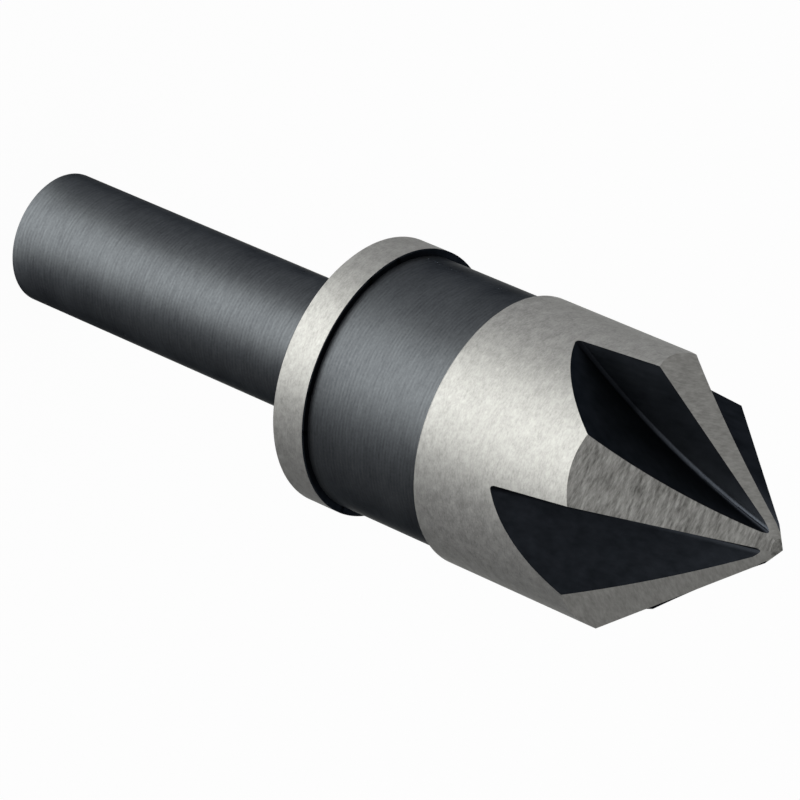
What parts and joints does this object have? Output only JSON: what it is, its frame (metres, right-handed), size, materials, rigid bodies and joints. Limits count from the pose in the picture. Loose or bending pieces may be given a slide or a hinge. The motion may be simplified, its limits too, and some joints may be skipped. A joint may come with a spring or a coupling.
{
  "type": "countersink bit",
  "caption": "Fluted countersink bit with an 82 degree cutting cone, relieved lands, a neck and a stop collar on a plain round shank, turned, ground and fluted from one bar.",
  "frame": {"origin": "centre of the shank's end face, on the tool's axis", "axes": "+Z along the tool's axis, from the shank's end face to the tip; the first flute's rake face runs parallel to +X"},
  "size_m": [0.0128, 0.0128, 0.0431],
  "materials": {
    "oxide_steel": "black oxide over turned steel, with the collar, the head and the lands ground bright"
  },
  "bodies": {
    "root": {"countersink_bit": "oxide_steel"}
  },
  "joints": []
}
